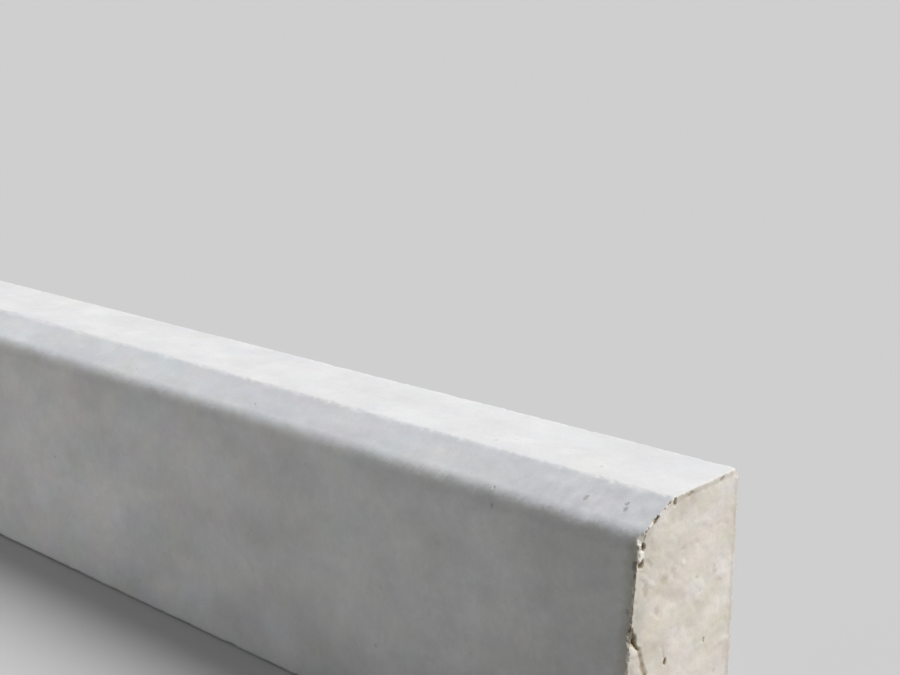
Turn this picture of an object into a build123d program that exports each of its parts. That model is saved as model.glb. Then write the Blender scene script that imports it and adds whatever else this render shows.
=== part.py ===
"""Concrete kerb stone with a splayed upper edge, cast in one piece. Millimetres."""

import os
from math import radians, tan

from build123d import *

# The kerb lies along X, its exposed face looks to -Y and +Z is up.
# The origin is the middle of the bed, the face that it stands on.

# Overall sizes
length = 1000.0
height = 200.0
bed_width = 130.0

# The exposed face leans back a little, so that it comes out of its mould
face_lean = 5.5  # degrees from the vertical

# The splay slopes from the flat top down to the face
top_width = 76.0
splay_drop = 17.0

# Rounded edges, all running along the kerb
brow_radius = 20.0  # the soft turn from the splay into the face
splay_radius = 1.2  # the crisp edge between the top and the splay
back_radius = 3.0

# The brow is where the face and the splay would meet if the edge were sharp
brow_height = height - splay_drop
brow_setback = brow_height * tan(radians(face_lean))

front = -bed_width / 2
back = bed_width / 2

with BuildPart() as kerb_stone:
    with BuildSketch(Plane.YZ) as section:
        with BuildLine():
            Polyline(
                (front, 0),
                (front + brow_setback, brow_height),
                (back - top_width, height),
                (back, height),
                (back, 0),
                close=True,
            )
        make_face()

        # In this sketch X points to the pavement and Y is the height
        brow = section.vertices().group_by(Axis.Y)[1]
        fillet(brow, radius=brow_radius)
        splay_corner = section.vertices().group_by(Axis.Y)[-1].sort_by(Axis.X)[0]
        fillet(splay_corner, radius=splay_radius)
        back_corner = section.vertices().group_by(Axis.Y)[-1].sort_by(Axis.X)[-1]
        fillet(back_corner, radius=back_radius)

    extrude(amount=length / 2, both=True)

os.makedirs("parts", exist_ok=True)
kerb_stone.part.label = "kerb_stone"
export_step(kerb_stone.part, "parts/kerb_stone.step")
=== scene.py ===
"""Concrete kerb stone: the cast block with its chipped edges, its concrete, light and camera. Metres."""

import math

import bpy
import numpy as np
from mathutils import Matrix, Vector, noise
from mathutils.geometry import delaunay_2d_cdt
from mathutils.kdtree import KDTree


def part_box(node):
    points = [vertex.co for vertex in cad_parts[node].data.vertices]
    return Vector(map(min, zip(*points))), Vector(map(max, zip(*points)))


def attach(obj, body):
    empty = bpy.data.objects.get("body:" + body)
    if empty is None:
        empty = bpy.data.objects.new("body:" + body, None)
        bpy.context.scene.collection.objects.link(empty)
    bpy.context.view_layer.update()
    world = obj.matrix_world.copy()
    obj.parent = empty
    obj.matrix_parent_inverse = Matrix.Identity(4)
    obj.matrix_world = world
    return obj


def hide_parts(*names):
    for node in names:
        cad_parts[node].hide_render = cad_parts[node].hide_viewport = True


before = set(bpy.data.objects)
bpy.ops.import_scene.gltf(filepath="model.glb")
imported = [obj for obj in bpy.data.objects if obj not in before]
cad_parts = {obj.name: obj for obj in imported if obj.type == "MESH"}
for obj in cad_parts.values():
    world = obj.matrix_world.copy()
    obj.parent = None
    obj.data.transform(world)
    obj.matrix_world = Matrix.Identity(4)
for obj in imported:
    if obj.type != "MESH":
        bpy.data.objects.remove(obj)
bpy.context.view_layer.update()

MM = 0.001
SEED = 7
RNG = np.random.default_rng(SEED)
noise.seed_set(SEED)  # noise_vector takes its offsets from the clock unless they are seeded

# The block's box, from the CAD model. X runs along the kerb, -Y looks out of its face.
BOX_LOW, BOX_HIGH = (np.array(corner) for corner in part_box("kerb_stone"))
FRONT, BACK = BOX_LOW[1], BOX_HIGH[1]
HEIGHT = BOX_HIGH[2] - BOX_LOW[2]
LENGTH = BOX_HIGH[0] - BOX_LOW[0]
HALF = LENGTH / 2
SHOWN, FAR = 1, -1  # which way along X each end looks

# The section, as the CAD model has it, with the edges of the bed a little worn
TOP_WIDTH = 76 * MM
SPLAY_DROP = 17 * MM
FACE_LEAN = math.radians(5.5)
BROW_RADIUS = 20 * MM
SPLAY_RADIUS = 1.2 * MM
BACK_RADIUS = 3 * MM
BED_RADIUS = 1.2 * MM

# Points on each rounded corner, on the whole outline, and on a line that is divided by spacing
ARC_POINTS = 25
OUTLINE_POINTS = 4001
LINE_POINTS = 6001

# Mesh spacing: close at the edges and at each scar, wide on the flat faces
RIM_STEP = 0.9 * MM
RIM_BAND = 3.2 * MM  # the spacing stays that close up to this distance from an end's arris
END_STEP = 1.5 * MM
FLAT_STEP = 12 * MM
BEND_STEPS = (2.2 * MM, 1.5 * MM, 1.1 * MM, 1.9 * MM, 1.8 * MM)  # at the section's bends, in order
SCAR_STEP = 0.36  # inside a scar, as a share of its radius
SPREAD = 0.45  # how fast the spacing grows away from an edge or a scar
END_SPREAD = 0.12  # the same on an end, away from its arris

# How points are strewn: cells may be this much too large, points stray this share of a cell from its
# middle, and they keep this share of the spacing from the border of the skin and of an end
LOOSE = 1.15
STRAY = 0.16
SKIN_ROOM = 0.5
END_ROOM = 0.55

INSIDE_ONLY = 1  # the triangulation's choice to fill only what the edges enclose
MERGE_DISTANCE = 1e-8
SHARP_ANGLE = math.radians(42)  # broken concrete shades sharply where faces meet at more than this


# Section outline


def bend(corner, radius, before, after):
    """Points round the arc that cuts off a corner between two others."""
    came, goes = corner - before, after - corner
    came, goes = came / np.linalg.norm(came), goes / np.linalg.norm(goes)
    turn = math.acos(np.clip(came @ goes, -1, 1))
    start = corner - came * radius * math.tan(turn / 2)
    centre = start + radius * np.array([-came[1], came[0]])
    first = math.atan2(*(start - centre)[::-1])
    angles = first + np.linspace(0, turn, ARC_POINTS)
    return centre + radius * np.column_stack([np.cos(angles), np.sin(angles)])


def section_outline():
    """The section from the middle of the bed round to it again, back first.

    Gives places along the outline, positions (y, z), outward normals and the places of the bends.
    """
    seam = np.array([0.0, 0.0])
    brow_height = HEIGHT - SPLAY_DROP
    corners = [
        ((BACK, 0.0), BED_RADIUS),
        ((BACK, HEIGHT), BACK_RADIUS),
        ((BACK - TOP_WIDTH, HEIGHT), SPLAY_RADIUS),
        ((FRONT + brow_height * math.tan(FACE_LEAN), brow_height), BROW_RADIUS),
        ((FRONT, 0.0), BED_RADIUS),
    ]
    stops = [seam] + [np.array(corner) for corner, _ in corners] + [seam]
    points, bends = [seam[None]], []
    for i, (_, radius) in enumerate(corners):
        first = sum(map(len, points))
        bends.append((first, first + ARC_POINTS - 1))
        points.append(bend(stops[i + 1], radius, stops[i], stops[i + 2]))
    points = np.concatenate(points + [seam[None]])
    place = np.concatenate([[0], np.cumsum(np.linalg.norm(np.diff(points, axis=0), axis=1))])
    bends = [(place[first], place[last]) for first, last in bends]
    steps = np.linspace(0, place[-1], OUTLINE_POINTS)
    outline = np.column_stack([np.interp(steps, place, points[:, k]) for k in (0, 1)])
    along = np.roll(outline[:-1], -1, axis=0) - np.roll(outline[:-1], 1, axis=0)
    along /= np.linalg.norm(along, axis=1)[:, None]
    normal = np.column_stack([along[:, 1], -along[:, 0]])
    return steps, outline, np.vstack([normal, normal[:1]]), bends


PLACES, OUTLINE, NORMALS, BENDS = section_outline()
GIRTH = PLACES[-1]
BACK_FOOT, BACK_TOP, SPLAY_TOP, BROW, FRONT_FOOT = BENDS


def around(place):
    """Position and outward normal (both y, z) at each place along the outline."""
    at = np.column_stack([np.interp(place, PLACES, OUTLINE[:, k]) for k in (0, 1)])
    normal = np.column_stack([np.interp(place, PLACES, NORMALS[:, k]) for k in (0, 1)])
    return at, normal / np.linalg.norm(normal, axis=1)[:, None]


def outline_tree():
    """The outline's points, for finding the nearest one."""
    tree = KDTree(len(OUTLINE) - 1)
    for i, point in enumerate(OUTLINE[:-1]):
        tree.insert((*point, 0), i)
    tree.balance()
    return tree


OUTLINE_TREE = outline_tree()


def reach_in(flat):
    """How far each point (y, z) is inside the outline, and the number of the outline's nearest point."""
    nearest = np.array([OUTLINE_TREE.find((*point, 0))[1] for point in flat], int)
    return ((OUTLINE[nearest] - flat) * NORMALS[nearest]).sum(axis=1), nearest


def outside(value, low, high):
    """How far each value is outside the stretch from low to high."""
    return np.maximum(np.maximum(low - value, value - high), 0)


# Noise on arrays of points

OCTAVE_FALL = 0.7  # how much weaker each finer octave is, as a power
OCTAVE_RATIO = 2.1  # how much finer it is


def ripple(points, size, octaves=1, shift=0.0):
    """Smooth noise at each point, mostly -1 to 1, with bumps about size across."""
    scaled = points / size + shift
    if octaves == 1:
        return np.array([noise.noise(Vector(p)) for p in scaled])
    return np.array([noise.fractal(Vector(p), OCTAVE_FALL, OCTAVE_RATIO, octaves) for p in scaled])


def warped(points, size, reach):
    """The points shifted by smooth noise of up to about reach, so that round shapes come out ragged."""
    return points + reach * np.array([noise.noise_vector(Vector(p)) for p in points / size])


def rise(value, low, high):
    """0 below low, 1 above high and smooth between."""
    t = np.clip((value - low) / (high - low), 0, 1)
    return t * t * (3 - 2 * t)


# Scars: holes, cracks, lost grains and stains, each a stretch of given radius pushed in by a depth

SLANT_REACH = 1.5  # an end's dent is pushed in at a slant if the arris is within this many radii
TINY = 1e-12  # keeps a scar without length from dividing by zero


# A scar's dark tone is painted shade where it is a hole, chip, pore, pit or crack, and its own colour
# where it is a stain
class Scar:
    """A dent along a short stretch of the surface. Its tone is 1 for dark, 0 for none and -1 for pale."""

    def __init__(self, start, end, radius, depth, tone, push):
        self.start, self.end = np.array(start, float), np.array(end, float)
        self.radius, self.depth, self.tone = radius, depth, tone
        self.push = np.array(push, float) / np.linalg.norm(push)

    def distance(self, points):
        """Distance of each point from the stretch."""
        way = self.end - self.start
        share = (points - self.start) @ way / max(way @ way, TINY)
        nearest = self.start + np.clip(share, 0, 1)[:, None] * way
        return np.linalg.norm(points - nearest, axis=1)


def end_scar(side, start, end, radius, depth, tone):
    """A scar on an end, from one point (y, z) to another, given in millimetres."""
    start, end = np.array(start) * MM, np.array(end) * MM
    away = np.linalg.norm(OUTLINE - (start + end) / 2, axis=1)
    slanted = depth > 0 and away.min() < SLANT_REACH * radius * MM
    skin = NORMALS[away.argmin()] if slanted else np.zeros(2)
    x = side * HALF
    return Scar((x, *start), (x, *end), radius * MM, depth * MM, tone, (-side, *-skin))


def skin_scar(x, start, end, radius, depth, tone):
    """A scar in a moulded face at x, from one point (y, z) to another, given in millimetres."""
    ends = [OUTLINE[np.linalg.norm(OUTLINE - np.array(at) * MM, axis=1).argmin()] for at in (start, end)]
    normal = NORMALS[np.linalg.norm(OUTLINE - sum(ends) / 2, axis=1).argmin()]
    return Scar(*((x * MM, *at) for at in ends), radius * MM, depth * MM, tone, (0, *-normal))


# The shown end, in millimetres: start and end (y, z), radius, depth and tone.
# A negative depth stands out of the end.
# A dark tone is painted shade in a hole, notch, chip or crack, or a stain's colour; a pale tone is partly
# painted highlight
SHOWN_END = [
    # Broken arris at the brow, with the grains and holes in it
    ((-44.0, 183.0), (-46.6, 168.0), 4.2, 1.3, 0.12),
    ((-43.0, 184.0), (-44.4, 181.6), 3.3, 1.6, -0.95),
    ((-41.2, 177.6), (-41.0, 175.4), 2.0, 2.6, 1.0),
    ((-43.8, 172.6), (-44.6, 170.2), 3.1, -2.2, -0.95),
    ((-43.0, 167.4), (-43.5, 165.2), 2.7, 2.4, 1.0),
    ((-49.2, 168.4), (-50.6, 161.0), 1.8, 1.2, 0.6),
    # Holes along the splay's arris
    ((-17.6, 199.0), (-15.6, 199.0), 2.0, 2.0, 0.75),
    ((-9.2, 198.6), (-8.8, 194.8), 1.7, 1.2, 0.5),
    ((-21.4, 196.8), (-23.0, 195.8), 1.7, 1.6, 0.65),
    ((-28.0, 192.2), (-30.8, 189.6), 1.9, 1.8, 0.75),
    ((-33.6, 190.8), (-36.8, 189.0), 2.3, -0.3, -0.7),
    ((-38.0, 187.8), (-39.6, 186.4), 2.0, 1.3, 0.45),
    # Worn edge of the face, then a notch and the crack that parts a flake from the block
    ((-50.4, 161.0), (-51.9, 146.0), 1.5, 0.5, 0.45),
    ((-52.0, 145.0), (-53.2, 131.0), 1.5, 0.5, 0.5),
    ((-53.4, 129.8), (-52.4, 126.4), 1.7, 1.6, 0.5),
    ((-53.4, 125.2), (-52.8, 117.6), 3.0, 2.4, 0.34),
    ((-51.0, 127.2), (-48.8, 122.0), 1.3, 1.2, 0.7),
    ((-48.6, 121.8), (-46.2, 114.8), 1.9, 2.6, 0.95),
    ((-50.0, 118.6), (-48.6, 116.4), 2.2, 2.2, 0.5),
    ((-45.8, 114.0), (-43.4, 110.6), 1.6, 1.4, 0.7),
    ((-42.8, 110.4), (-40.3, 104.0), 2.3, 0.6, 0.42),
    ((-40.3, 104.0), (-38.4, 98.0), 2.7, 0.5, 0.48),
    ((-38.4, 98.0), (-35.2, 91.0), 3.0, 0.5, 0.5),
    ((-34.8, 90.0), (-39.6, 74.0), 1.5, 0.7, 0.45),
    ((-39.6, 74.0), (-50.0, 62.0), 1.3, 0.5, 0.3),
    ((-51.6, 112.6), (-46.8, 108.8), 3.0, -0.5, -0.35),
    ((-51.6, 108.0), (-46.0, 97.0), 4.2, -0.3, -0.15),
    # Worn upper corner at the back, then pits, soft stains, and low ridges with painted highlight on them
    # and painted shade below
    ((63.6, 199.0), (64.2, 197.6), 5.0, 1.2, 0.0),
    ((45.4, 197.4), (43.4, 196.2), 1.8, 0.7, 0.35),
    ((9.2, 197.0), (6.6, 196.0), 1.6, 0.7, 0.3),
    ((31.0, 91.0), (31.2, 90.0), 1.7, 0.8, 0.3),
    ((-13.2, 92.4), (-13.4, 91.2), 1.9, 0.9, 0.9),
    ((-17.4, 102.4), (-14.4, 94.0), 1.8, 0.2, 0.2),
    ((-38.1, 149.4), (-37.4, 146.0), 3.4, 0.15, 0.28),
    ((-18.8, 148.6), (-16.6, 147.0), 3.6, 0.1, 0.17),
    ((-25.4, 129.2), (-24.2, 127.4), 2.6, 0.15, 0.22),
    ((-4.0, 184.4), (-1.0, 182.6), 3.0, 0.1, 0.12),
    ((-9.6, 150.4), (-7.4, 149.6), 3.2, 0.4, 0.09),
    ((39.0, 136.6), (40.4, 134.0), 3.0, 0.3, 0.09),
    ((-24.4, 129.0), (-21.0, 126.0), 3.6, 0.3, 0.09),
    ((-10.0, 190.0), (8.0, 193.0), 8.0, 0.2, 0.12),
    ((-34.0, 104.0), (-20.0, 99.0), 10.0, 0.2, 0.13),
    ((14.0, 104.0), (24.0, 112.0), 8.0, 0.2, 0.06),
    # The ridges are a touch paler as painted highlight; the dent below the first is a line of painted
    # shade
    ((-42.0, 158.6), (-36.0, 153.4), 2.3, -0.13, -0.04),
    ((-34.4, 151.0), (-28.6, 147.4), 2.2, -0.13, -0.04),
    ((-40.4, 153.6), (-34.6, 147.8), 2.2, 0.12, 0.06),
    ((-37.0, 166.0), (-32.6, 162.0), 2.2, 0.3, 0.10),
    ((2.6, 153.2), (3.8, 152.4), 2.4, -0.3, -0.35),
    ((15.0, 124.6), (20.0, 117.8), 3.6, 0.3, 0.06),
    # Below the photograph's edge
    ((-57.0, 86.0), (-57.8, 76.0), 1.6, 1.2, 0.6),
    ((-60.4, 46.0), (-61.0, 36.0), 1.5, 1.2, 0.6),
    ((-40.0, 1.4), (-35.0, 0.6), 2.0, 1.8, 0.5),
    ((22.0, 0.6), (27.0, 1.2), 1.7, 1.5, 0.5),
    ((64.6, 54.0), (64.8, 49.0), 1.4, 1.2, 0.4),
]

# The shown long faces, in millimetres: x, start and end (y, z), radius, depth and tone
# The tones here are painted shade in small pits
SHOWN_SKIN = [
    (476.5, (-29.4, 190.6), (-28.0, 191.2), 1.8, 0.35, 0.34),
    (475.0, (-25.0, 192.6), (-23.8, 193.1), 1.5, 0.25, 0.28),
    (446.6, (-29.2, 190.8), (-27.4, 191.4), 1.6, 0.25, 0.30),
    (385.4, (-48.0, 176.6), (-48.2, 175.6), 1.5, 0.35, 0.26),
    (347.0, (1.4, 200.0), (2.4, 200.0), 1.5, 0.2, 0.14),
    (-67.0, (-40.0, 185.0), (-12.0, 199.4), 0.9, 0.2, 0.08),
    (498.0, (-49.0, 168.0), (-49.2, 165.0), 1.8, 0.6, 0.6),
    (496.5, (-51.6, 138.4), (-51.8, 137.0), 1.7, 0.4, 0.45),
]

# How many more scars are strewn over the long faces and the far end
SPARE_PORES = 60
SPARE_CHIPS = 14
SPARE_PITS = 12
SPARE_STAINS = 9
PORE_MARGIN = 8 * MM  # pores keep this far from the edges of the bed
PORE_REACH = 480  # and lie within so many millimetres of the middle of the length


def spare_pores():
    """Small pores in the long faces."""
    for _ in range(SPARE_PORES):
        place = RNG.uniform(BACK_FOOT[1] + PORE_MARGIN, FRONT_FOOT[0] - PORE_MARGIN, 1)
        at = around(place)[0][0] / MM
        x = RNG.uniform(-PORE_REACH, PORE_REACH)
        size = 0.8 + 0.9 * RNG.random() ** 3
        # The pore's tone is painted shade
        yield skin_scar(x, at, at, size, 0.3 * size, tone=RNG.uniform(0.08, 0.26))


def spare_chips():
    """Chips out of the far end's arris."""
    for _ in range(SPARE_CHIPS):
        place = RNG.uniform(0, GIRTH)
        length = RNG.uniform(1, 7) * MM
        start, end = around(np.array([place, place + length]))[0] / MM
        size = RNG.uniform(1.2, 3.4)
        depth = size * RNG.uniform(0.3, 0.7)
        # The chip's tone is painted shade
        yield end_scar(FAR, start, end, size, depth, tone=RNG.uniform(0.02, 0.2))


def spare_pits():
    """Pits in the far end."""
    for _ in range(SPARE_PITS):
        start = RNG.uniform((-50, 6), (60, 190))
        size = 0.8 + 1.2 * RNG.random() ** 2
        end = start + RNG.uniform(-size, size, 2)
        depth = size * RNG.uniform(0.3, 0.8)
        # The pit's tone is painted shade
        yield end_scar(FAR, start, end, size, depth, tone=RNG.uniform(0.1, 0.4))


def spare_stains():
    """Soft stains on the far end."""
    for _ in range(SPARE_STAINS):
        start = RNG.uniform((-40, 20), (50, 180))
        end = start + RNG.uniform(-14, 14, 2)
        size = RNG.uniform(3, 9)
        yield end_scar(FAR, start, end, size, 0.25, tone=RNG.uniform(0.05, 0.13))


SCARS = [end_scar(SHOWN, *scar) for scar in SHOWN_END]
SCARS += [skin_scar(*scar) for scar in SHOWN_SKIN]
SCARS += [*spare_pores(), *spare_chips(), *spare_pits(), *spare_stains()]


def scar_step(points, step):
    """The spacing wanted at each point, closer than step near a scar."""
    for scar in SCARS:
        beyond = np.maximum(scar.distance(points) - scar.radius, 0)
        step = np.minimum(step, SCAR_STEP * scar.radius + SPREAD * beyond)
    return step


# Block mesh: a skin wrapped round the section and a face at each end


def strew(low, high, step_at):
    """Points all over a rectangle, as close together as step_at asks."""
    low, high = np.array(low), np.array(high)
    counts = np.ceil((high - low) / FLAT_STEP).astype(int)
    size = (high - low) / counts
    columns, rows = np.meshgrid(np.arange(counts[0]), np.arange(counts[1]))
    cells = low + (np.column_stack([columns.ravel(), rows.ravel()]) + 0.5) * size
    kept = []
    while len(cells):
        fine_enough = step_at(cells) * LOOSE >= size.max()
        kept.append(cells[fine_enough] + RNG.uniform(-STRAY, STRAY, (fine_enough.sum(), 2)) * size)
        size = size / 2
        quarters = [np.array(q) * size / 2 for q in ((-1, -1), (-1, 1), (1, -1), (1, 1))]
        cells = np.concatenate([cells[~fine_enough] + q for q in quarters])
    return np.concatenate(kept)


def graded(length, step_at):
    """Places from 0 to length, as close together as step_at asks."""
    line = np.linspace(0, length, LINE_POINTS)
    count = np.concatenate([[0], np.cumsum(np.diff(line) / step_at(line)[1:])])
    return np.interp(np.linspace(0, count[-1], round(count[-1]) + 1), count, line)


def ring(size):
    """The edges that join so many points into a closed line."""
    return [(i, (i + 1) % size) for i in range(size)]


def triangles(flat, edges, numbers):
    """Triangles between flat points inside edges, as vertex numbers."""
    flat = [Vector(p) for p in flat]
    _, _, faces, came_from, _, _ = delaunay_2d_cdt(flat, edges, [], INSIDE_ONLY, MERGE_DISTANCE)
    order = numbers[[found[0] for found in came_from]]
    return order[np.array(faces)]


def skin_step(sheet):
    """The spacing wanted on the skin at each x and place."""
    x, place = sheet.T
    step = RIM_STEP + SPREAD * np.maximum(HALF - RIM_BAND - abs(x), 0)
    for (low, high), fine in zip(BENDS, BEND_STEPS):
        step = np.minimum(step, fine + SPREAD * outside(place, low, high))
    points = np.column_stack([x, around(place)[0]])
    return np.minimum(scar_step(points, step), FLAT_STEP)


def end_step(side):
    """The spacing wanted on an end at each (y, z)."""

    def step_at(flat):
        inside, _ = reach_in(flat)
        step = RIM_STEP + END_SPREAD * np.maximum(inside - RIM_BAND, 0)
        points = np.column_stack([np.full(len(flat), side * HALF), flat])
        return scar_step(points, np.minimum(step, END_STEP))

    return step_at


class Block:
    """The block's vertices, with what the weathering needs to know about each."""

    def __init__(self):
        self.batches = []
        self.faces = []
        self.count = 0

    def add(self, x, at, place, skin, inside, along):
        """Adds vertices and gives their numbers."""
        size = len(at)
        x = np.full(size, x)
        self.batches.append({
            "points": np.column_stack([x, at]),
            "skin": np.column_stack([np.zeros(size), skin]),
            "end": np.where(x > 0, 1.0, -1.0),
            "inside": np.full(size, inside),
            "along": np.full(size, along),
            "place": place,
        })
        first, self.count = self.count, self.count + size
        return np.arange(first, self.count)

    def finish(self):
        """Joins what was added, and drops the vertices that no face uses."""
        used, faces = np.unique(np.concatenate(self.faces), return_inverse=True)
        self.faces = faces.reshape(-1, 3)

        def joined(name):
            return np.concatenate([batch[name] for batch in self.batches])[used]

        self.points = joined("points")
        self.skin = joined("skin")  # outward normal of the long faces
        self.end = joined("end")  # 1 or -1, the nearer end
        self.inside = joined("inside")  # distance from the arris on an end
        self.along = joined("along")  # distance from the arris on the long faces
        self.place = joined("place")  # place round the section, the nearest one on an end


def wrap_skin(block):
    """Adds the long faces and gives the vertex numbers of the rim at each end, and the rims' places."""
    rim_places = graded(GIRTH, lambda line: np.full(len(line), RIM_STEP))
    seam = graded(LENGTH, lambda line: skin_step(np.column_stack([line - HALF, 0 * line]))) - HALF
    low_rim = np.column_stack([np.full(len(rim_places), -HALF), rim_places])
    high_rim = np.column_stack([np.full(len(rim_places), HALF), rim_places])
    seam_low = np.column_stack([seam, np.zeros(len(seam))])[1:-1]
    seam_high = np.column_stack([seam, np.full(len(seam), GIRTH)])[1:-1]
    border = [low_rim, seam_high, high_rim[::-1], seam_low[::-1]]
    strewn = strew((-HALF, 0), (HALF, GIRTH), skin_step)
    room = SKIN_ROOM * skin_step(strewn)
    clear = (HALF - abs(strewn[:, 0]) > room) & (outside(strewn[:, 1], room, GIRTH - room) == 0)
    sheet = np.concatenate(border + [strewn[clear]])
    rim_size, seam_size = len(low_rim), len(seam_low)
    total = 2 * (rim_size + seam_size)

    at, normal = around(sheet[:, 1])
    numbers = block.add(sheet[:, 0], at, sheet[:, 1], normal, 0.0, HALF - abs(sheet[:, 0]))
    # The two long borders of the sheet are one line on the bed
    high_start = rim_size + seam_size
    low_start = high_start + rim_size
    welded = numbers.copy()
    welded[rim_size:high_start] = numbers[low_start:total][::-1]
    welded[rim_size - 1] = numbers[0]
    welded[high_start] = numbers[low_start - 1]
    block.faces.append(triangles(sheet, ring(total), welded)[:, ::-1])
    return welded[: rim_size - 1], welded[high_start:low_start][::-1][:-1], rim_places[:-1]


def close_end(block, rim, places, side):
    """Fills the rim at one end."""
    step_at = end_step(side)
    strewn = strew((FRONT, 0), (BACK, HEIGHT), step_at)
    inside, nearest = reach_in(strewn)
    clear = inside > END_ROOM * step_at(strewn)
    strewn, inside, nearest = strewn[clear], inside[clear], nearest[clear]
    inner = block.add(side * HALF, strewn, PLACES[nearest], NORMALS[nearest], inside, 0.0)
    flat = np.concatenate([around(places)[0], strewn])
    faces = triangles(flat, ring(len(rim)), np.concatenate([rim, inner]))
    block.faces.append(faces if side == SHOWN else faces[:, ::-1])


def block_mesh():
    """The block's surface before weathering."""
    block = Block()
    far_rim, shown_rim, places = wrap_skin(block)
    close_end(block, far_rim, places, FAR)
    close_end(block, shown_rim, places, SHOWN)
    block.finish()
    return block


# Weathering. Depths are in millimetres, and a ripple's size and shift pick its noise.

UNEVENNESS = 0.22
LUMPS = 0.40
SANDINESS = 0.10
PITTING = 0.40
WAVES = 0.22
BROW_WAVES = 0.20
RELIEF_BAND = 5 * MM  # the ends' relief sets in over this distance from the arris
EDGE_BAND = 5 * MM  # a long edge is worn within this distance of its bend
ROUND_SHARE = 0.8  # how much of the way round the section counts in a long edge's noise
WIDE = (1.0, 1.5, 1.0)  # the ends' relief and blotches are drawn out by this along x, y and z

# Worn long edges: the bend, its wear, how fast that fades away from the bend, and the noise's shift
LONG_EDGES = [
    (SPLAY_TOP, 0.45, 0.24, 41.0),
    (BACK_TOP, 0.5, 1.0, 47.0),
    (FRONT_FOOT, 0.8, 1.0, 53.0),
    (BACK_FOOT, 0.9, 1.0, 59.0),
]


def arris_loss(block):
    """How far each point's nearest end arris is broken back: most at the face, half that at the brow."""
    arris = block.points + block.skin * block.inside[:, None]
    arris[:, 0] = block.end * HALF
    up, forward = block.skin[:, 2], -block.skin[:, 1]
    wear = 0.35 + 0.65 * rise(forward, 0.1, 0.4) + 0.3 * rise(-up, 0.5, 1.0)
    brow = rise(arris[:, 2], HEIGHT - 42 * MM, HEIGHT - 24 * MM) * rise(forward, 0.3, 0.6)
    grains = rise(ripple(arris, 2.6 * MM), -0.25, 0.35)
    chips = rise(ripple(arris, 11 * MM, shift=5.0), 0.2, 0.6)
    return MM * wear * (1 - 0.5 * brow) * (0.35 + 1.2 * grains + 1.4 * chips)


def edge_loss(block, bend_at, wear, slope, shift):
    """How far a long edge is worn flat and nicked, at the points near it."""
    away = outside(block.place, *bend_at)
    near = np.flatnonzero((away < EDGE_BAND) & (block.inside == 0))
    line = np.zeros((len(near), 3))
    line[:, 0], line[:, 1] = block.points[near, 0], ROUND_SHARE * block.place[near]
    nicks = rise(ripple(line, 5.5 * MM, shift=shift), -0.1, 0.7)
    wavy = 1 + ripple(line, 14 * MM, 3, shift=shift + 3)
    loss = np.zeros(len(away))
    loss[near] = np.clip(wear * MM * (0.5 * wavy + nicks) - slope * away[near], 0, None)
    return loss


def end_relief(block):
    """How far the ends lie back, uneven and finely sandy, and in which places they are pitted."""
    points = block.points / WIDE
    uneven = UNEVENNESS * (1 + ripple(points, 38 * MM, 3, shift=3.0))
    lumps = LUMPS * (1 - abs(ripple(points, 11 * MM, 2, shift=29.0)))
    sandy = SANDINESS * (1 + ripple(points, 3.4 * MM, 2, shift=9.0))
    pits = PITTING * rise(ripple(points, 5 * MM, shift=17.0), 0.55, 0.8)
    return (uneven + lumps + sandy + pits) * MM * rise(block.inside, 0, RELIEF_BAND), pits


def skin_relief(block):
    """How far the moulded faces lie back: a little wavy, the brow most, with worn and nicked edges."""
    wavy = WAVES * MM * (1 + ripple(block.points, 110 * MM, 2, shift=21.0))
    brow = rise(-outside(block.place, *BROW), -9 * MM, 0)
    wavy += BROW_WAVES * MM * brow * (1 + ripple(block.points, 14 * MM, 2, shift=33.0))
    return wavy + sum(edge_loss(block, *edge) for edge in LONG_EDGES)


def weather(block):
    """Breaks the edges back, roughens the ends and dents the scars.

    Gives the moved points, each vertex's share of broken surface, and its tone as a scar has it, with
    painted shade in deep chips and pits.
    """
    points, skin = block.points, block.skin
    on_end = block.inside > 0
    outward = np.column_stack([block.end, 0 * block.end, 0 * block.end])

    deep = arris_loss(block)
    loss = np.clip(deep - block.inside - block.along, 0, None) / 2
    loss *= 1 + 0.55 * ripple(points, 1.9 * MM, shift=11.0)
    relief, pits = end_relief(block)
    moved = points - (skin + outward) * loss[:, None]
    moved -= outward * (relief * on_end)[:, None]
    moved -= skin * (skin_relief(block) * ~on_end)[:, None]

    # Painted shade: darker where the arris is broken back deepest and in the ends' pits
    dark = np.maximum(0.5 * rise(loss, 0.9 * MM, 1.8 * MM), 0.35 * pits * on_end)
    pale = np.zeros(len(points))
    ragged_points = warped(warped(points, 2.3 * MM, 0.9 * MM), 0.9 * MM, 0.4 * MM)
    for scar in SCARS:
        bowl = np.clip(1 - (scar.distance(ragged_points) / scar.radius) ** 2, 0, 1)
        moved += scar.push * (bowl * scar.depth)[:, None]
        if scar.tone > 0:
            dark = np.maximum(dark, scar.tone * bowl**0.7)
        else:
            pale = np.maximum(pale, -scar.tone * bowl**0.5)

    broken = deep - block.along + 0.5 * MM * ripple(points, 2.4 * MM, shift=61.0)
    cut = np.where(on_end, 1.0, rise(broken, -0.25 * MM, 0.25 * MM))
    cut = np.maximum(cut, pale)
    return np.clip(moved, BOX_LOW, BOX_HIGH), {"cut": cut, "tone": dark * (1 - pale) - pale}


def make_kerb():
    """The kerb as one closed mesh, with its finish zones and its tone of stain and painted shade as
    vertex attributes.
    """
    block = block_mesh()
    points, values = weather(block)
    mesh = bpy.data.meshes.new("kerb_block")
    mesh.from_pydata(points.tolist(), [], block.faces.tolist())
    mesh.set_sharp_from_angle(angle=SHARP_ANGLE)
    values["place"] = block.place
    for name, value in values.items():
        mesh.attributes.new(name, "FLOAT", "POINT").data.foreach_set("value", value)
    kerb = bpy.data.objects.new("kerb_block", mesh)
    bpy.context.scene.collection.objects.link(kerb)
    return kerb


# Materials

MIX_A, MIX_B, MIX_RESULT = 6, 7, 2  # a mix node's sockets for colours


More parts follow.
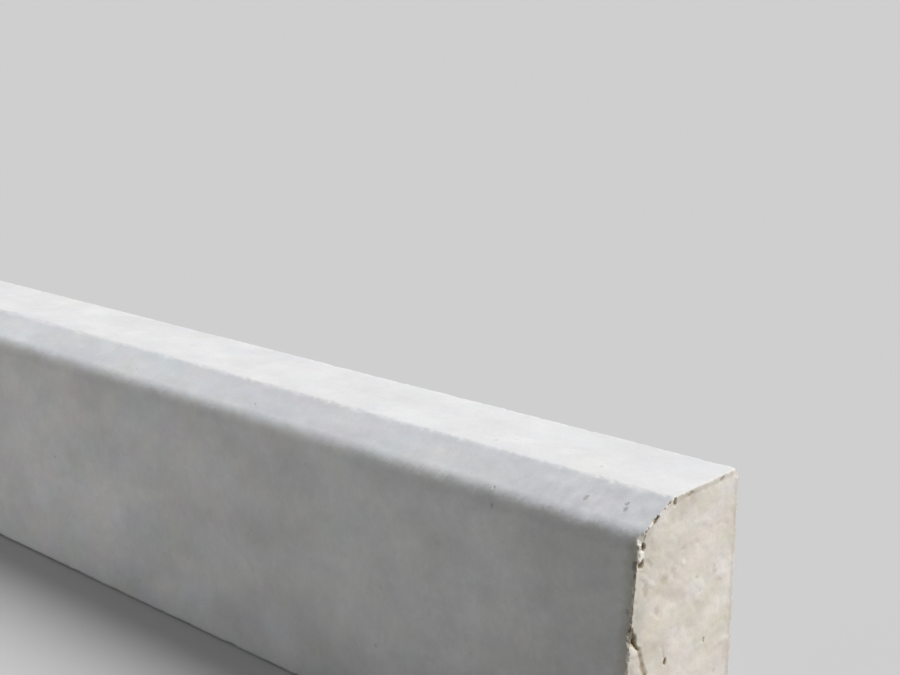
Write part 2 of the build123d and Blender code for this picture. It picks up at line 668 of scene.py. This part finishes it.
class Nodes:
    """Short ways to add nodes to a material."""

    def __init__(self, material):
        material.use_nodes = True
        self.tree = material.node_tree
        self.tree.nodes.clear()
        self.out = self.tree.nodes.new("ShaderNodeOutputMaterial")
        self.object = self.tree.nodes.new("ShaderNodeTexCoord").outputs["Object"]

    def put(self, socket, value):
        """Links another node's output to the socket, or sets a plain value on it."""
        if isinstance(value, bpy.types.NodeSocket):
            self.tree.links.new(value, socket)
        else:
            socket.default_value = value

    def noise(self, size, detail=2.0, roughness=0.5, shift=0.0, stretch=None):
        """Noise with bumps about size metres across, 0 to 1, drawn out along x, y, z by stretch."""
        node = self.tree.nodes.new("ShaderNodeTexNoise")
        node.noise_dimensions = "4D"
        where = self.object
        if stretch:
            squeezed = self.tree.nodes.new("ShaderNodeVectorMath")
            squeezed.operation = "DIVIDE"
            self.put(squeezed.inputs[0], where)
            squeezed.inputs[1].default_value = stretch
            where = squeezed.outputs[0]
        self.put(node.inputs["Vector"], where)
        node.inputs["Scale"].default_value = 1 / size
        node.inputs["Detail"].default_value = detail
        node.inputs["Roughness"].default_value = roughness
        node.inputs["W"].default_value = shift
        return node.outputs["Fac"]

    def math(self, kind, a, b=0.0):
        """A sum, product or the like of two values."""
        node = self.tree.nodes.new("ShaderNodeMath")
        node.operation = kind
        self.put(node.inputs[0], a)
        self.put(node.inputs[1], b)
        return node.outputs[0]

    def ranged(self, value, low, high, to_low=0.0, to_high=1.0):
        """The value from low to high turned into to_low to to_high, and level beyond."""
        node = self.tree.nodes.new("ShaderNodeMapRange")
        names = ("Value", "From Min", "From Max", "To Min", "To Max")
        for name, given in zip(names, (value, low, high, to_low, to_high)):
            self.put(node.inputs[name], given)
        return node.outputs[0]

    def mix(self, share, a, b, kind="MIX"):
        """Colour a with a share of colour b."""
        node = self.tree.nodes.new("ShaderNodeMix")
        node.data_type, node.blend_type = "RGBA", kind
        self.put(node.inputs[0], share)
        self.put(node.inputs[MIX_A], a)
        self.put(node.inputs[MIX_B], b)
        return node.outputs[MIX_RESULT]

    def times(self, colour, factor):
        """The colour times a brightness or another colour."""
        return self.mix(1.0, colour, factor, "MULTIPLY")

    def blotches(self, size, colours, shift, detail=3.0, stretch=None):
        """Two colours in soft patches about size metres across."""
        share = self.ranged(self.noise(size, detail, 0.5, shift, stretch), 0.34, 0.66)
        return self.mix(share, *colours)

    def flicker(self, size, reach, shift, detail, stretch=None, roughness=0.6):
        """A brightness near 1 that wavers by as much as reach."""
        wavering = self.noise(size, detail, roughness, shift, stretch)
        return self.ranged(wavering, 0.3, 0.7, 1 - reach, 1 + reach)

    def hues(self, size, reach, shift, stretch=None):
        """A near white whose red, green and blue each waver by themselves, by as much as reach."""
        node = self.tree.nodes.new("ShaderNodeCombineColor")
        for i, most in enumerate(reach):
            wavering = self.noise(size, 5, 0.6, shift + 30 * i, stretch)
            self.put(node.inputs[i], self.ranged(wavering, 0.34, 0.66, 1 - most, 1 + most))
        return node.outputs[0]

    def attribute(self, name):
        """A value that the mesh's vertices carry."""
        node = self.tree.nodes.new("ShaderNodeAttribute")
        node.attribute_name = name
        return node.outputs["Fac"]

    def coordinate(self, axis):
        """Place along an axis of the kerb, in metres."""
        node = self.tree.nodes.new("ShaderNodeSeparateXYZ")
        self.put(node.inputs[0], self.object)
        return node.outputs[axis]

    def bump(self, height, distance, strength):
        """Normals roughened by a height."""
        node = self.tree.nodes.new("ShaderNodeBump")
        node.inputs["Distance"].default_value = distance
        self.put(node.inputs["Strength"], strength)
        self.put(node.inputs["Height"], height)
        return node.outputs[0]


def ragged(n, value, size, reach, shift):
    """The value shifted up and down by as much as reach, in bumps about size metres across."""
    return n.math("ADD", value, n.ranged(n.noise(size, 3, 0.6, shift), 0.25, 0.75, -reach, reach))


# Colours of the concrete, as red, green, blue and alpha. A pair is the darker and the paler blotches.
WHITE = (1, 1, 1, 1)
# Top and splay are paler than the face partly in their own colour, partly as painted light on the lit
# side
FACE_GREYS = ((0.475, 0.477, 0.477, 1), (0.56, 0.558, 0.553, 1))
REAR_GREYS = ((0.455, 0.457, 0.455, 1), (0.505, 0.505, 0.50, 1))
SPLAY_GREYS = ((0.58, 0.59, 0.615, 1), (0.65, 0.655, 0.67, 1))
TOP_GREYS = ((0.614, 0.612, 0.62, 1), (0.664, 0.662, 0.664, 1))
BROKEN_CREAMS = ((0.60, 0.555, 0.485, 1), (0.705, 0.665, 0.61, 1))
STAIN = (0.575, 0.51, 0.43, 1)
DARK_SAND = (0.33, 0.29, 0.24, 1)
# Dent colours: dirt and stain, and painted shade in holes, chips, pores and cracks; the hollow's is
# painted shade
MOULDED_DIRT_AND_SHADE = (0.22, 0.215, 0.20, 1)
BROKEN_DIRT_AND_SHADE = (0.345, 0.28, 0.195, 1)
PAINTED_HOLLOW_SHADE = (0.075, 0.06, 0.03, 1)
# Pale grains, partly their own colour and partly a painted highlight where they catch the light
PALE_GRAIN_AND_HIGHLIGHT = (0.80, 0.76, 0.69, 1)

# What the greys are multiplied by: low and high on the far half of the face, painted paler there as light
# bounced up from the ground, beside its arris, and in the blotches of the splay near the shown end
PAINTED_BOUNCE_LOW, PAINTED_BOUNCE_HIGH = (1.62, 1.615, 1.64, 1), (1.19, 1.175, 1.155, 1)
BESIDE_ARRIS = (0.78, 0.755, 0.64, 1)
SPLAY_PATCHES = ((0.92, 0.925, 0.945, 1), (1.08, 1.08, 1.07, 1))

# Paler and darker patches on the face: x, z and radius in metres, and brightness
FACE_PATCHES = [
    (0.372, 0.092, 0.055, 1.15),
    (0.190, 0.125, 0.060, 0.92),
    (0.425, 0.168, 0.045, 0.90),
    (0.280, 0.168, 0.050, 0.93),
    (-0.150, 0.120, 0.080, 1.06),
]

# Over this stretch of x, towards the shown end, fine mottling comes in and the broad hues fade
MOTTLED = (0.2, 0.42)

# How far the blotches of the face and of the other moulded faces are drawn out along x, y and z
LONG = (1.4, 1.0, 1.0)
LONGER = (2.0, 1.0, 1.0)


def patch(n, x, z, radius, brightness):
    """The brightness round a place on the face and 1 away from it, with a ragged border.

    The place's x also shifts the border's noise.
    """
    offset = n.tree.nodes.new("ShaderNodeVectorMath")
    offset.operation = "DISTANCE"
    n.put(offset.inputs[0], n.object)
    offset.inputs[1].default_value = (x, FRONT, z)
    away = ragged(n, offset.outputs["Value"], 0.03, 20 * MM, shift=x)
    return n.ranged(away, 0.2 * radius, radius, brightness, 1.0)


def face_colour(n, along, up):
    """Grey of the face: painted paler low down and over the far half, as light bounced up from the
    ground, and darker towards the shown end.
    """
    face = n.blotches(0.045, FACE_GREYS, 1, 6, LONG)
    face = n.times(face, n.flicker(0.005, 0.025, 14, 3, stretch=(1.0, 1.0, 1.6)))
    face = n.times(face, n.ranged(along, 0.30, 0.5, 1.02, 0.74))
    mottled = n.times(face, n.flicker(0.006, 0.045, 22, 4))
    face = n.mix(n.ranged(along, *MOTTLED), face, mottled)
    # Painted bounce light: the face paler low down and over its far half
    paler = n.mix(n.ranged(up, 0.02, 0.165), PAINTED_BOUNCE_LOW, PAINTED_BOUNCE_HIGH)
    face = n.times(face, n.mix(n.ranged(along, -0.4, 0.3, 1, 0), WHITE, paler))
    for values in FACE_PATCHES:
        face = n.times(face, patch(n, *values))
    from_middle = ragged(n, n.math("ABSOLUTE", along), 0.005, 3 * MM, 16)
    return n.mix(n.ranged(from_middle, 0.490, 0.4985), face, n.times(face, BESIDE_ARRIS))


def rear_colour(n):
    """Grey of the back and the bed, with the shade of fine pores painted in as darker dots."""
    # Painted shade: fine pores as darker dots, with no hollows in the mesh
    pores = n.ranged(n.noise(0.0035, 2, 0.5, 23), 0.62, 0.72, 1.0, 0.80)
    return n.times(n.blotches(0.035, REAR_GREYS, 15, 6, LONGER), pores)


def splay_colour(n, along):
    """Bluish grey of the splay, streaked down its slope and patchy near the shown end."""
    splay = n.blotches(0.03, SPLAY_GREYS, 2, 5, LONGER)
    splay = n.times(splay, n.ranged(along, -0.3, 0.45, 1.05, 0.955))
    splay = n.times(splay, n.flicker(0.0035, 0.022, 21, 3, stretch=(1.0, 6.0, 2.8)))
    patchy = n.times(splay, n.blotches(0.010, SPLAY_PATCHES, 17, 5))
    return n.mix(n.ranged(along, 0.36, 0.44), splay, patchy)


def moulded_colour(n):
    """Grey of the moulded faces. Each face's tone wavers where it borders the next."""
    along, up = n.coordinate("X"), n.coordinate("Z")
    place = n.attribute("place")
    top = n.blotches(0.04, TOP_GREYS, 3, 5, LONGER)
    top_edge = (SPLAY_TOP[0] + SPLAY_TOP[1]) / 2
    sloping = ragged(n, place, 0.005, 2.4 * MM, 8)
    sloping = n.ranged(sloping, top_edge - 0.6 * MM, top_edge + 0.6 * MM)
    skin = n.mix(sloping, top, splay_colour(n, along))
    brow = ragged(n, ragged(n, place, 0.009, 4.0 * MM, 11), 0.003, 2.4 * MM, 20)
    brow = n.ranged(brow, BROW[0] + 4 * MM, BROW[0] + 11 * MM)
    skin = n.mix(brow, skin, face_colour(n, along, up))
    behind = n.ranged(place, *BACK_TOP, 1, 0)
    bed = n.ranged(up, 1.2 * MM, 3 * MM, 1, 0)
    skin = n.mix(n.math("MAXIMUM", behind, bed), skin, rear_colour(n))

    skin = n.times(skin, n.flicker(0.016, 0.06, 12, 6, LONG, roughness=0.7))
    hues = n.hues(0.028, (0.029, 0.020, 0.034), 9, LONG)
    calm = n.math("MAXIMUM", n.ranged(along, *MOTTLED, 0.0, 0.6), n.ranged(sloping, 0, 1, 0.55, 0))
    return n.times(skin, n.mix(calm, hues, WHITE))


def broken_colour(n):
    """Cream of the ends and of broken edges, darker near the face."""
    leaning = n.math("MULTIPLY", n.coordinate("Z"), math.tan(FACE_LEAN))
    from_face = ragged(n, n.math("SUBTRACT", n.coordinate("Y"), leaning), 0.012, 3 * MM, 24)
    broken = n.blotches(0.018, BROKEN_CREAMS, 4, 5, WIDE)
    stained = n.ranged(n.noise(0.03, 3, 0.55, 13, WIDE), 0.52, 0.72)
    broken = n.mix(n.math("MULTIPLY", stained, 0.8), broken, STAIN)
    broken = n.times(broken, n.ranged(from_face, FRONT, FRONT + 22 * MM, 0.76, 1.0))
    broken = n.times(broken, n.hues(0.018, (0.024, 0.016, 0.042), 10, WIDE))
    sand = n.ranged(n.noise(0.0024, 2, 0.5, 18), 0.62, 0.72, 0.0, 0.22)
    return n.mix(sand, broken, DARK_SAND)


def concrete():
    """Cast concrete, grey where it met the mould and cream where it is broken."""
    material = bpy.data.materials.new("cast_concrete")
    n = Nodes(material)
    cut, tone = n.attribute("cut"), n.attribute("tone")
    colour = n.mix(cut, moulded_colour(n), broken_colour(n))
    colour = n.times(colour, n.flicker(0.0013, 0.035, 5, 2))
    # Dents darkened by their tone: dirt and stain, and painted shade in holes, chips, pores and cracks,
    # deepest in holes
    colour = n.mix(n.ranged(tone, 0, 0.55), colour, n.mix(cut, MOULDED_DIRT_AND_SHADE, BROKEN_DIRT_AND_SHADE))
    colour = n.mix(n.ranged(tone, 0.45, 1), colour, PAINTED_HOLLOW_SHADE)
    # Pale grains, partly a painted highlight
    colour = n.mix(n.ranged(tone, 0, -1), colour, PALE_GRAIN_AND_HIGHLIGHT)

    shader = n.tree.nodes.new("ShaderNodeBsdfPrincipled")
    n.put(shader.inputs["Base Color"], colour)
    n.put(shader.inputs["Roughness"], n.ranged(n.noise(0.02, 3, shift=6), 0.3, 0.7, 0.78, 0.92))
    shader.inputs["Specular IOR Level"].default_value = 0.3
    grain = n.noise(0.0018, 4, 0.65, shift=7)
    n.put(shader.inputs["Normal"], n.bump(grain, 0.2 * MM, n.ranged(cut, 0, 1, 0.45, 0.9)))
    n.put(n.out.inputs["Surface"], shader.outputs[0])
    return material


def plain(name, colour):
    """A matt floor colour."""
    material = bpy.data.materials.new(name)
    n = Nodes(material)
    shader = n.tree.nodes.new("ShaderNodeBsdfDiffuse")
    shader.inputs["Color"].default_value = colour
    n.put(n.out.inputs["Surface"], shader.outputs[0])
    return material


# Stage, light and camera

FLOOR_RADIUS = 150.0
FLOOR_SIDES = 96
FLOOR_GREY = (0.50, 0.50, 0.50, 1)

# Lamps: the direction that each shines in, its strength, and its width in degrees
KEY_LAMP = ((-0.45, -0.46, -0.76), 4.1, 34)
FILL_LAMP = ((0.55, 0.75, -0.35), 0.4, 70)
SKY_LIGHT = 0.2  # what the sky gives to the kerb
SKY_SEEN = 0.62  # what the camera and reflections see of it, which meets the floor without a line

# The photograph's viewpoint, solved from the kerb's straight edges
CAMERA_AT = (0.9401, -0.6999, 0.5007)
HEADING = math.radians(42.16)  # from the back, +Y, towards the far end
PITCH = math.radians(13.98)  # downwards
LENS = 56.336
SENSOR_WIDTH = 36.0


def make_floor():
    """A round pale floor, so wide that its edge is near the horizon."""
    mesh = bpy.data.meshes.new("floor")
    angles = np.linspace(0, 2 * math.pi, FLOOR_SIDES, endpoint=False)
    rim = [(FLOOR_RADIUS * math.cos(a), FLOOR_RADIUS * math.sin(a), 0) for a in angles]
    mesh.from_pydata(rim, [], [list(range(len(rim)))])
    mesh.materials.append(plain("floor_paint", FLOOR_GREY))
    floor = bpy.data.objects.new("floor", mesh)
    bpy.context.scene.collection.objects.link(floor)


def aimed(obj, direction):
    """Turns obj so that its -Z points along direction, with no roll."""
    obj.rotation_euler = Vector(direction).to_track_quat("-Z", "Y").to_euler()


def make_lamp(name, direction, strength, width):
    """A lamp that shines along direction, as soft as it is wide."""
    data = bpy.data.lights.new(name, "SUN")
    data.energy = strength
    data.angle = math.radians(width)
    lamp = bpy.data.objects.new(name, data)
    aimed(lamp, direction)
    bpy.context.scene.collection.objects.link(lamp)


def make_sky():
    """A white sky, weak as a light and brighter where it is seen or reflected."""
    world = bpy.data.worlds.new("sky")
    world.use_nodes = True
    tree = world.node_tree
    tree.nodes.clear()
    ray = tree.nodes.new("ShaderNodeLightPath")
    seen = tree.nodes.new("ShaderNodeMath")
    seen.operation = "MAXIMUM"
    strength = tree.nodes.new("ShaderNodeMapRange")
    strength.inputs["To Min"].default_value = SKY_LIGHT
    strength.inputs["To Max"].default_value = SKY_SEEN
    background = tree.nodes.new("ShaderNodeBackground")
    background.inputs["Color"].default_value = WHITE
    out = tree.nodes.new("ShaderNodeOutputWorld")
    tree.links.new(ray.outputs["Is Camera Ray"], seen.inputs[0])
    tree.links.new(ray.outputs["Is Glossy Ray"], seen.inputs[1])
    tree.links.new(seen.outputs[0], strength.inputs["Value"])
    tree.links.new(strength.outputs[0], background.inputs["Strength"])
    tree.links.new(background.outputs[0], out.inputs["Surface"])
    bpy.context.scene.world = world


def make_light():
    """A wide soft lamp from above, behind and right, a weak one from the front left, and the sky."""
    make_lamp("key", *KEY_LAMP)
    make_lamp("fill", *FILL_LAMP)
    make_sky()


def make_camera():
    """The camera, level from side to side."""
    data = bpy.data.cameras.new("camera")
    data.sensor_width, data.lens = SENSOR_WIDTH, LENS
    camera = bpy.data.objects.new("camera", data)
    camera.location = CAMERA_AT
    level = math.cos(PITCH)
    aimed(camera, (-math.sin(HEADING) * level, math.cos(HEADING) * level, -math.sin(PITCH)))
    bpy.context.scene.collection.objects.link(camera)
    bpy.context.scene.camera = camera


kerb = make_kerb()
kerb.data.materials.append(concrete())
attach(kerb, "root")
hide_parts("kerb_stone")
make_floor()
make_light()
make_camera()
bpy.context.scene.view_settings.view_transform = "Standard"
